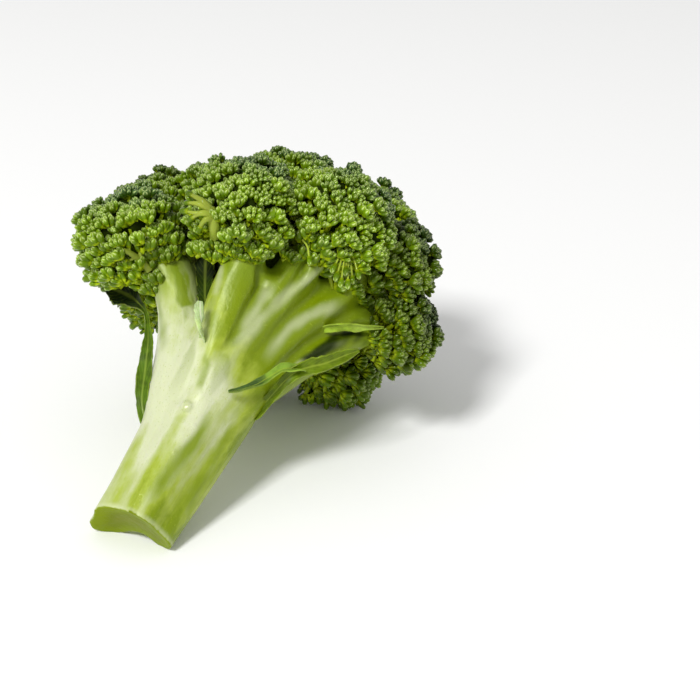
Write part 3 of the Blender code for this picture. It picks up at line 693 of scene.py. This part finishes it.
def beside(line, points):
    """How far each point is from a line through some places, and how far along it, from 0 to 1."""
    nearest, where = np.full(len(points), np.inf), np.zeros(len(points))
    line = np.array(line, float)
    lengths = np.linalg.norm(np.diff(line, axis=0), axis=1)
    starts = np.concatenate([[0], np.cumsum(lengths)])
    for a, b, start, length in zip(line, line[1:], starts, lengths):
        share = np.clip((points - a) @ (b - a) / length**2, 0, 1)
        apart = np.linalg.norm(points - a - share[:, None] * (b - a), axis=1)
        nearer = apart < nearest
        nearest[nearer] = apart[nearer]
        where[nearer] = (start + share[nearer] * length) / starts[-1]
    return nearest, where


def strips_over(strips, points):
    """How far each point lies within any of the strips, with edges that wander a little."""
    within = np.zeros(len(points))
    wander = np.array([noise.noise((x * 0.3, y * 0.3, z * 0.12)) for x, y, z in points])
    for first, last, soft, *line in strips:
        apart, where = beside(line, points)
        apart = apart / (first + (last - first) * where) + 0.6 * wander
        fade = smoothstep(0, 0.3 * soft, where) * smoothstep(1, 1 - 0.3 * soft, where)
        within = np.maximum(within, smoothstep(1 + soft, 1 - soft, apart) * fade)
    return within


def fold_heights(points):
    """How far the skin stands out in each point for the ridges, and in for the grooves between branches."""
    height = np.zeros(len(points))
    for first, last, half, *line in FOLDS:
        apart, where = beside(line, points)
        height += (first + (last - first) * where) * np.exp(-((apart / half) ** 2))
    return height


def shaped_stalk(grown, facing, pairs, knife, ridge):
    """The stalk's points with its joints evened out and its shoulder, folds and fine ridges raised, and the
    place in the trunk that each point's fibre comes from."""
    grown = relaxed(grown, pairs, 8, 0.15 + 0.65 * smoothstep(0.4, 5.0, knife))
    # The knife came out lower on one side, and left that end of the cut thick and round.
    slip = smoothstep(12, 1, grown[:, 2]) * smoothstep(-3, -12, grown[:, 0])
    slip *= smoothstep(-8, 8, grown[:, 1])
    grown -= slip[:, None] * np.array(THICK_SIDE)
    # The left branch springs from a thick shoulder.
    shoulder = smoothstep(32, 46, grown[:, 2]) * smoothstep(104, 84, grown[:, 2])
    shoulder *= smoothstep(-3, -12, grown[:, 0])
    grown -= shoulder[:, None] * np.array((SHOULDER, 0, 0))
    grown += facing * fold_heights(grown)[:, None]
    grown = relaxed(grown, pairs, 2, 0.5 * smoothstep(0.4, 5.0, knife))
    flow = flow_coordinates(grown)
    lift = np.array([noise.noise((x * 0.30, y * 0.30, z * 0.012)) + 0.25 * noise.noise((x, y + 9, z * 0.02))
                     for x, y, z in flow])
    grown += facing * (lift * ridge / MM * smoothstep(0.3, 4.0, knife))[:, None]
    return grown, flow


def raise_dew(grown, facing):
    """Raises the drops of water out of the skin. Gives how wet each point is."""
    wet = np.zeros(len(grown))
    for *middle, width in DEW:
        apart = np.linalg.norm(grown - middle, axis=1) / (width / 2)
        dome = np.sqrt(np.clip(1 - apart**2, 0, 1))
        grown += facing * (DROP_HEIGHT * width * dome)[:, None]
        wet = np.maximum(wet, smoothstep(1.15, 0.9, apart))
    return wet


def rind_depth(grown, cut, pairs):
    """How deep each point of the cut lies inside its rim, where 1 is past the rind."""
    inner = np.flatnonzero(cut > 0.5)
    edge = inner[relaxed((cut[:, None] > 0.5).astype(float), pairs, 1)[inner, 0] < 0.99]
    apart = np.linalg.norm(grown[inner][:, None, :] - grown[edge][None], axis=2).min(axis=1)
    depth = np.zeros(len(grown))
    depth[inner] = apart / (9 + 9 * smoothstep(5, 12, -grown[inner, 0]))
    return depth


def hidden_by_crown(grown, pairs):
    """How much of the sky the crown hides from each point of the stalk."""
    hidden = relaxed(shelter_over(crown_tree(), grown)[:, None], pairs, 12)[:, 0]
    hidden *= smoothstep(8, 25, grown[:, 2])
    for name, (*_, across, _) in FLORETS.items():
        apart = np.linalg.norm(grown - np.array(floret_middle(name)), axis=1)
        hidden = np.maximum(hidden, smoothstep(across + 18, across - 3, apart))
    return hidden


def finish_stalk(piece, ridge):
    """Shapes the skin and the cut, and stores the marks that the stalk's material reads: the cut's flesh,
    its depth from the rim or the skin's painted highlights and pale lip, the worn strips with painted shade
    in creases, height, painted shade under the crown, dew and painted shade in the gaps."""
    mesh = piece.data
    grown = grown_points(mesh)
    facing = grown_normals(mesh)
    pairs = neighbours_of(mesh)
    knife = on_knife(grown)
    grown, flow = shaped_stalk(grown, facing, pairs, knife, ridge)
    wet = raise_dew(grown, facing)
    cut = smoothstep(0.7, 0.35, knife) * smoothstep(-0.55, -0.8, facing[:, 2])
    groove = np.einsum("ij,ij->i", relaxed(grown, pairs, 40) - grown, facing)
    # Olive where the wax is worn off, and painted shade in the creases.
    olive_and_crease_shade = np.maximum(strips_over(BARE_STRIPS, grown), 0.5 * smoothstep(0.1, 1.3, groove))
    lip = smoothstep(2.4, 0.8, knife) * smoothstep(16, 4, grown[:, 2])
    # Painted highlights along the ridges, and a pale lip round the cut.
    highlight_and_pale_lip = np.maximum(strips_over(PAINTED_HIGHLIGHT_STRIPS, grown), 0.8 * lip)
    ring = np.clip(np.where(cut > 0.5, rind_depth(grown, cut, pairs), highlight_and_pale_lip), 0, 1)
    hidden = hidden_by_crown(grown, pairs)
    store(mesh, "stalk_marks", np.column_stack([cut, ring, olive_and_crease_shade, grown[:, 2] / MARKED_HEIGHT]))
    store(mesh, "painted_shade_and_dew", np.column_stack([hidden, wet, strips_over(GAP_SHADE_STRIPS, grown)]))
    store(mesh, "grain", flow)
    mesh.vertices.foreach_set("co", moved(GROWN, grown).ravel())
    mesh.update()


# ---- The florets ----
# Height and half width of a bud's rings, from its foot to its tip, where the bud is a unit wide.
BUD_RINGS = ((-2.0, 0), (-0.80, 0.29), (-0.06, 0.5), (0.52, 0.40), (0.80, 0))
BUD_ALONG = (0, 0.3, 0.55, 0.86, 1)  # how far along stem and bud each ring is coloured


def bud_form():
    """One closed bud, a unit wide, on a neck whose foot is its last point."""
    bpy.ops.object.select_all(action="DESELECT")
    bpy.ops.mesh.primitive_uv_sphere_add(segments=6, ring_count=4, radius=0.5)
    bud = bpy.context.object
    for vert in bud.data.vertices:
        height, width = BUD_RINGS[round(2 + 4 * math.asin(min(max(vert.co.z * 2, -1), 1)) / math.pi)]
        around = Vector((vert.co.x, vert.co.y, 0))
        vert.co = around.normalized() * width + UP * height if width else UP * height
    points, faces = form_of(bud)
    return points, faces, np.interp(points[:, 2], [height for height, _ in BUD_RINGS], BUD_ALONG)


def twig_form():
    """A five-sided twig, a unit thick and a unit long, with its foot at the origin."""
    bpy.ops.object.select_all(action="DESELECT")
    bpy.ops.mesh.primitive_cone_add(vertices=5, radius1=1, radius2=0.7, depth=1, location=(0, 0, 0.5),
                                    end_fill_type="NOTHING")
    twig = bpy.context.object
    bpy.ops.object.transform_apply(location=True)
    return (*form_of(twig), 0.1)


def form_of(obj):
    """Points and triangles of an object, which is then removed."""
    mesh = obj.data
    points, faces = rows(mesh.vertices, "co", 3), triangles(mesh)
    bpy.data.objects.remove(obj)
    bpy.data.meshes.remove(mesh)
    return points, faces


def basis(axis):
    """Two directions square to an axis."""
    side = np.cross(axis, (0.3, 0.2, 0.93) if abs(axis[2]) < 0.8 else (0.9, 0.3, 0.1))
    side /= np.linalg.norm(side)
    return side, np.cross(axis, side)


def unit(vector):
    """A vector's direction."""
    return vector / np.linalg.norm(vector)


def marks_of(points, *values):
    """Marks of each point: place along the bud, bloom, chance, light, and the direction round the bud."""
    return np.column_stack([np.broadcast_to(value, len(points)) for value in values] + [points])


class Spray:
    """Gathers the buds and twigs of one floret as points, triangles and marks."""

    def __init__(self):
        self.points, self.faces, self.marks, self.count = [], [], [], 0

    def add(self, points, faces, marks):
        self.points.append(points)
        self.faces.append(faces + self.count)
        self.marks.append(marks)
        self.count += len(points)

    def add_form(self, form, foot, axis, width, length, bloom, chance, light):
        points, faces, along = form
        side, front = basis(axis)
        placed = foot + (points[:, :1] * side + points[:, 1:2] * front) * width
        placed = placed + points[:, 2:] * axis * length
        self.add(placed, faces, marks_of(points, along, bloom, chance, light))
        return placed

    def to_mesh(self, name):
        points, faces = np.vstack(self.points), np.vstack(self.faces)
        mesh = bpy.data.meshes.new(name)
        mesh.vertices.add(len(points))
        mesh.vertices.foreach_set("co", moved(GROWN, points).ravel())
        mesh.loops.add(faces.size)
        mesh.loops.foreach_set("vertex_index", faces.ravel().astype(np.int32))
        mesh.polygons.add(len(faces))
        mesh.polygons.foreach_set("loop_start", np.arange(0, faces.size, 3, dtype=np.int32))
        mesh.update(calc_edges=True)
        mesh.validate()
        mesh.shade_smooth()
        marks = np.vstack(self.marks)
        store(mesh, "bud_marks", marks[:, :4])
        store(mesh, "bud_round", marks[:, 4:])
        return mesh


def floret_solid(name):
    """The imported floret's corners and triangles, in millimetres in the frame it grew in."""
    mesh = NODES["floret_" + name].data
    points = grown_points(mesh)
    _, first, merged = np.unique(np.round(points, 3), axis=0, return_index=True, return_inverse=True)
    return points[first], merged.reshape(-1)[triangles(mesh)]


def crown_tree():
    """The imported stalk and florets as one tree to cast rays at, in millimetres as the head grew."""
    corners, faces, count = [], [], 0
    for name, node in NODES.items():
        if name.startswith(("stalk", "floret")):
            corners.append(grown_points(node.data))
            faces.append(triangles(node.data) + count)
            count += len(corners[-1])
    return BVHTree.FromPolygons(np.vstack(corners).tolist(), np.vstack(faces).tolist())


def spread_over(points, faces, middle, pitch, draw):
    """Places for clusters: the solid's own knobs first, then its hollows, none nearer than the pitch."""
    reach = np.linalg.norm(points - middle, axis=1)
    highest = np.zeros(len(points))
    for i, j in ((0, 1), (1, 2), (2, 0)):
        np.maximum.at(highest, faces[:, i], reach[faces[:, j]])
        np.maximum.at(highest, faces[:, j], reach[faces[:, i]])
    knobs = points[reach > highest]
    a, b, c = (points[faces[:, k]] for k in range(3))
    area = np.linalg.norm(np.cross(b - a, c - a), axis=1)
    chosen = draw.choice(len(faces), CLUSTER_TRIES, p=area / area.sum())
    u, v = draw.random((2, CLUSTER_TRIES, 1))
    over = u + v > 1
    u, v = np.where(over, 1 - u, u), np.where(over, 1 - v, v)
    scattered = a[chosen] + (b - a)[chosen] * u + (c - a)[chosen] * v
    kept = []
    for place in np.vstack([knobs, scattered]):
        if not kept or np.linalg.norm(np.array(kept) - place, axis=1).min() > pitch:
            kept.append(place)
    return np.array(kept)


def openness(tree, place, out):
    """Share of the directions round a place's outward one that nothing blocks near by."""
    side, front = basis(out)
    start = place + out * OPEN_START
    free = 0
    for i in range(OPEN_RAYS):
        turn = math.tau * i / OPEN_RAYS * OPEN_TURNS
        lean = OPEN_LEAN[0] + OPEN_LEAN[1] * ((i * 5) % OPEN_RAYS) / OPEN_RAYS
        ray = out * math.cos(lean) + (side * math.cos(turn) + front * math.sin(turn)) * math.sin(lean)
        if tree.ray_cast(Vector(start), Vector(ray), OPEN_REACH)[0] is None:
            free += 1
    return free / OPEN_RAYS


def add_cluster(spray, forms, place, out, outer, light, s, draw):
    """One cluster: buds on thin stems that spread from one point, tighter and smaller toward the top."""
    growth = draw.uniform(0.8, 1.35)
    width = (s.side_bud * (1 - outer) + s.top_bud * outer) / MM * growth
    buds, dome, spread = (at_sides + added * outer for at_sides, added in (BUDS_EACH, DOME, SPREAD))
    count = int(round(buds / growth**1.5))
    spread = math.radians(spread)
    place = place - out * abs(draw.normal(0, 0.9))
    foot = place - out * dome
    side, front = basis(out)
    turn = draw.uniform(0, math.tau)
    drift = 0.8 * noise.noise(place * 0.09) - 0.1
    light = light * (1 + 0.35 * noise.noise(place * 0.11 + 40)) * draw.uniform(0.9, 1.1)
    for i in range(count):
        lean = spread * math.sqrt((i + 0.35) / count)
        angle = turn + i * GOLDEN_ANGLE
        away = out * math.cos(lean) + (side * math.cos(angle) + front * math.sin(angle)) * math.sin(lean)
        away = unit(away + draw.normal(0, 0.06, 3))
        size = width * draw.uniform(0.75, 1.15)
        centre = foot + away * ((dome - 0.85 * size) * draw.uniform(0.82, 1.03))
        axis = unit(away + out * 0.15 + draw.normal(0, 0.13, 3))
        chance, bloom = draw.random(), np.clip(outer + drift + draw.normal(0, 0.12), 0, 1)
        placed = spray.add_form(forms["bud"], centre, axis, size, size, bloom, chance, light)
        placed[forms["bud_foot"]] = foot + away * 0.4
    return foot


def add_stem(spray, forms, path, first, last, size, light, draw):
    """A round stem swept through some places, thinner toward its last, where it holds a bud."""
    steps, sides, near = 9, 6, 0.05
    reference = basis(unit(np.subtract(path[-1], path[0])))[0]
    turns = math.tau * np.arange(sides)[:, None] / sides
    rings = []
    for share in np.arange(steps + 1) / steps:
        ahead = along_points(path, min(share + near, 1))
        tangent = unit(np.array(ahead - along_points(path, max(share - near, 0))))
        front = unit(np.cross(tangent, reference))
        side = np.cross(front, tangent)
        half = first + (last - first) * share
        around = half * (np.cos(turns) * side + np.sin(turns) * front)
        rings.append(np.array(along_points(path, share)) + around)
    starts = sides * np.arange(steps)[:, None]
    a = (starts + np.arange(sides)).ravel()
    b = (starts + (np.arange(sides) + 1) % sides).ravel()
    faces = np.concatenate([np.column_stack([a, b, b + sides]), np.column_stack([a, b + sides, a + sides])])
    points = np.vstack(rings)
    chance = draw.random()
    spray.add(points, faces, marks_of(points, 0.0, 0.0, chance, light))
    size *= draw.uniform(0.9, 1.2)
    placed = spray.add_form(forms["bud"], rings[-1].mean(axis=0), tangent, size, size, draw.uniform(0, 0.3),
                            chance, light)
    placed[forms["bud_foot"]] = rings[-2].mean(axis=0)


def add_core(spray, points, faces, middle, tree):
    """What shows between the clusters: the solid itself, painted dark as shade, and drawn in where it lies
    open.
    """
    out = points - middle
    reach = np.linalg.norm(out, axis=1, keepdims=True)
    open_share = np.array([openness(tree, point, unit(way)) for point, way in zip(points, out)])[:, None]
    drawn = reach - CORE_SUNK - CORE_OPEN * smoothstep(0.05, 0.35, open_share)
    drawn = middle + out * np.maximum(drawn, CORE_LEAST) / reach
    spray.add(drawn, faces, marks_of(points, 0.5, 0.5, 0.1, 0.08))


def make_floret(name, s, forms, tree, material, draw):
    """One floret: its dark core, bared stems and tassels, and clusters of buds all over it."""
    points, faces = floret_solid(name)
    axis, middle = np.array(floret_axis(name)), np.array(floret_middle(name))
    across = FLORETS[name][3]
    spray = Spray()
    add_core(spray, points, faces, middle, tree)
    fork = middle - axis * (0.5 * across)
    places = spread_over(points, faces, middle, s.pitch / MM, draw)
    hanging = np.array(HANGING.get(name, np.empty((0, 3))))
    for first, last, *path in STEMS.get(name, ()):
        add_stem(spray, forms, path, first, last, s.side_bud / MM, STEM_LIGHT, draw)
        places = [place for place in places if beside(path, place[None])[0][0] > STEM_CLEAR]
    if name == "front":
        for root, *ends in TASSELS:
            for end in ends:
                bend = np.add(root, end) / 2 + TASSEL_BEND
                path = root, bend, end
                add_stem(spray, forms, path, *TASSEL_ENDS, s.side_bud / MM, TASSEL_LIGHT, draw)
    for i, place in enumerate(np.vstack([places, hanging])):
        straight = unit(place - middle)
        rise = float(straight @ axis)
        light = openness(tree, place, straight)
        if i >= len(places):
            straight, light = unit(straight + (0, -0.5, 0)), HANGING_LIGHT
        elif light < LEAST_LIGHT:
            continue
        outer = float(smoothstep(0.0, 0.85, 0.55 * rise + 0.45 * float(straight[2])))
        out = unit(straight * 0.65 + axis * 0.85 * (1 - rise))
        # Painted shade, carried into the buds' colour: darker where the cluster lies closed in, on the
        # florets listed for painted shade, and toward the top.
        shade = 0.2 + 0.8 * float(smoothstep(0.05, 0.8, light))
        shade = shade * PAINTED_FLORET_SHADE.get(name, 1) * (1 - 0.38 * outer)
        foot = add_cluster(spray, forms, place, out, outer, shade, s, draw)
        root = fork + (foot - fork) * 0.35
        reach = foot - root
        length = np.linalg.norm(reach)
        spray.add_form(forms["twig"], root, reach / length, 1.2, length, 0, draw.random(), 0.8 * shade)
    piece = add_piece("buds_" + name, spray.to_mesh("buds_" + name), material)
    stands_for(piece, "floret_" + name)


# ---- The leaves ----
def along_points(points, share):
    """A point on the smooth curve through points, at a share from 0 to 1 of their count."""
    at = share * (len(points) - 1)
    i = min(int(at), len(points) - 2)
    t = at - i
    p0, p1, p2, p3 = (Vector(points[min(max(i + k, 0), len(points) - 1)]) for k in (-1, 0, 1, 2))
    bowed = (2 * p0 - 5 * p1 + 4 * p2 - p3) * t**2
    turned = (3 * p1 - p0 - 3 * p2 + p3) * t**3
    return (2 * p1 + (p2 - p0) * t + bowed + turned) / 2


def make_blade(name, leaf, thickness, material):
    """A fine grid bent along the midrib, cupped, waved and toothed, then given its thickness."""
    midrib, left, right, facing, cup, teeth = leaf
    bpy.ops.object.select_all(action="DESELECT")
    bpy.ops.mesh.primitive_grid_add(x_subdivisions=BLADE_GRID[0], y_subdivisions=BLADE_GRID[1], size=2)
    blade = bpy.context.object
    blade.name = blade.data.name = name
    facing = Vector(facing).normalized()
    length = sum((Vector(q) - Vector(p)).length for p, q in zip(midrib, midrib[1:]))
    marks = []
    for vert in blade.data.vertices:
        across, share = vert.co.x, (vert.co.y + 1) / 2
        middle = along_points(midrib, share)
        tangent = along_points(midrib, min(share + 0.02, 1)) - along_points(midrib, max(share - 0.02, 0))
        side = tangent.cross(facing).normalized()
        rise = side.cross(tangent).normalized()
        widths = right if across > 0 else left
        width = float(np.interp(share * (len(widths) - 1), range(len(widths)), widths))
        run = share * length
        jag = 0.5 + 0.5 * noise.noise((run * 0.55, 7.0 + (across > 0), len(name)))
        width *= 1 - 2.2 * teeth * jag * max(0.0, abs(across) - 0.55) / 0.45
        wave = 0.22 * width * across**2 * math.sin(run * 0.62 + 2.0 * (across > 0))
        rib = -0.25 * math.exp(-((across * width / 0.6) ** 2))
        lift = cup * width * across**2 + wave + rib
        vert.co = GROWN @ (middle + side * (across * width) + rise * lift)
        marks.append((abs(across), share, run / VEIN_GAP, 1.0))
    blade.data.materials.clear()
    blade.data.materials.append(material)
    store(blade.data, "leaf_marks", marks)
    alone(blade)
    walls = blade.modifiers.new("walls", "SOLIDIFY")
    walls.thickness = thickness
    walls.offset = 0.0
    bpy.ops.object.modifier_apply(modifier=walls.name)
    bpy.ops.object.shade_smooth()
    return blade


# ---- Operators ----
class BROCCOLI_OT_stage(bpy.types.Operator):
    """Lay a plain pale floor, soft studio lights and the camera"""

    bl_idname = "broccoli.stage"
    bl_label = "Stage"

    def execute(self, context):
        s = context.scene.broccoli_stage
        bpy.ops.object.select_all(action="DESELECT")
        bpy.ops.mesh.primitive_plane_add(size=s.floor_size)
        floor = context.object
        floor.name = "floor"
        paint, _, shader = new_material("matt_paper")
        shader.inputs["Base Color"].default_value = (*s.floor_colour, 1)
        shader.inputs["Roughness"].default_value = 0.9
        shader.inputs["Specular IOR Level"].default_value = 0.1
        floor.data.materials.append(paint)

        world = bpy.data.worlds.new("soft_sky")
        world.use_nodes = True
        sky = world.node_tree.nodes["Background"]
        sky.inputs["Color"].default_value = (1, 1, 1, 1)
        sky.inputs["Strength"].default_value = s.sky
        context.scene.world = world

        lens = bpy.data.cameras.new("camera")
        lens.lens = LENS
        lens.sensor_width = SENSOR
        lens.clip_start = 0.01
        lens.clip_end = 20
        camera = bpy.data.objects.new("camera", lens)
        context.scene.collection.objects.link(camera)
        camera.location = CAMERA_AT
        camera.rotation_euler = CAMERA_TURN
        context.scene.camera = camera
        context.scene.view_settings.view_transform = "Standard"

        turn = CAMERA_TURN.to_matrix()
        for name, at, size, watts in (
            ("key", KEY_AT, KEY_SIZE, s.key_watts), ("fill", FILL_AT, FILL_SIZE, s.fill_watts),
        ):
            lamp = bpy.data.lights.new(name, "AREA")
            lamp.size = size
            lamp.energy = watts
            light = bpy.data.objects.new(name, lamp)
            context.scene.collection.objects.link(light)
            light.location = LIT_AT + turn @ Vector(at)
            light.rotation_euler = (LIT_AT - light.location).to_track_quat("-Z", "Y").to_euler()
        return {"FINISHED"}


class BROCCOLI_OT_stalk(bpy.types.Operator):
    """Make the waxy stalk with its branches and its cut end"""

    bl_idname = "broccoli.stalk"
    bl_label = "Stalk"

    def execute(self, context):
        s = context.scene.broccoli_stalk
        piece = stalk_copy("stalk_skin", waxy_stalk_skin(s))
        finish_stalk(piece, s.ridge)
        stands_for(piece, "stalk")
        return {"FINISHED"}


class BROCCOLI_OT_florets(bpy.types.Operator):
    """Make each floret's spray of buds on thin stems"""

    bl_idname = "broccoli.florets"
    bl_label = "Florets"

    def execute(self, context):
        s = context.scene.broccoli_florets
        bud = bud_form()
        forms = {"bud": bud, "bud_foot": int(bud[0][:, 2].argmin()), "twig": twig_form()}
        tree = crown_tree()
        material = waxy_bud_skin(s)
        for i, name in enumerate(FLORETS):
            make_floret(name, s, forms, tree, material, np.random.default_rng(s.seed + i))
        return {"FINISHED"}


class BROCCOLI_OT_leaves(bpy.types.Operator):
    """Make the small leaves and the bract left on the stalk"""

    bl_idname = "broccoli.leaves"
    bl_label = "Leaves"

    def execute(self, context):
        s = context.scene.broccoli_leaves
        vein = tuple(s.vein)
        skins = {
            "leaf_left": young_leaf_skin("waxy_leaf", tuple(s.blade), tuple(s.tip), vein, 0.3),
            "bract": young_leaf_skin("bract_scale", BRACT_BLADE, BRACT_TIP, BRACT_VEIN, 0.8),
        }
        for name, (skin, blade, tip, veined) in LEAF_SKINS.items():
            skins[name] = young_leaf_skin(skin, linear(blade), linear(tip), vein, veined)
        for name, leaf in LEAVES.items():
            piece = make_blade("blade_" + name, leaf, s.thickness, skins[name])
            if name == "leaf_right":
                lobe = make_blade("auricle", AURICLE, s.thickness, skins["auricle"])
                alone(piece)
                lobe.select_set(True)
                bpy.ops.object.join()
            stands_for(piece, name)
        return {"FINISHED"}


class BROCCOLI_PT_panel(bpy.types.Panel):
    """Lists the pieces of the broccoli head"""

    bl_idname = "BROCCOLI_PT_panel"
    bl_label = "Broccoli Head"
    bl_space_type = "VIEW_3D"
    bl_region_type = "UI"
    bl_category = "Broccoli"

    def draw(self, context):
        for group, operators in PANEL_ROWS:
            box = self.layout.box()
            settings = getattr(context.scene, group)
            for name in settings.bl_rna.properties.keys():
                if name not in ("rna_type", "name"):
                    box.prop(settings, name)
            for operator in operators:
                box.operator(operator)


PANEL_ROWS = (
    ("broccoli_stage", ("broccoli.stage",)),
    ("broccoli_stalk", ("broccoli.stalk",)),
    ("broccoli_florets", ("broccoli.florets",)),
    ("broccoli_leaves", ("broccoli.leaves",)),
)
GROUPS = {
    "broccoli_stage": StageSettings,
    "broccoli_stalk": StalkSettings,
    "broccoli_florets": FloretSettings,
    "broccoli_leaves": LeafSettings,
}
CLASSES = (
    *GROUPS.values(),
    BROCCOLI_OT_stage,
    BROCCOLI_OT_stalk,
    BROCCOLI_OT_florets,
    BROCCOLI_OT_leaves,
    BROCCOLI_PT_panel,
)


def register():
    for cls in CLASSES:
        bpy.utils.register_class(cls)
    for name, group in GROUPS.items():
        setattr(bpy.types.Scene, name, bpy.props.PointerProperty(type=group))


def unregister():
    for name in GROUPS:
        delattr(bpy.types.Scene, name)
    for cls in reversed(CLASSES):
        bpy.utils.unregister_class(cls)


def main():
    register()
    bpy.ops.broccoli.stage()
    bpy.ops.broccoli.stalk()
    bpy.ops.broccoli.florets()
    bpy.ops.broccoli.leaves()
    bpy.context.view_layer.update()


if __name__ == "__main__":
    main()
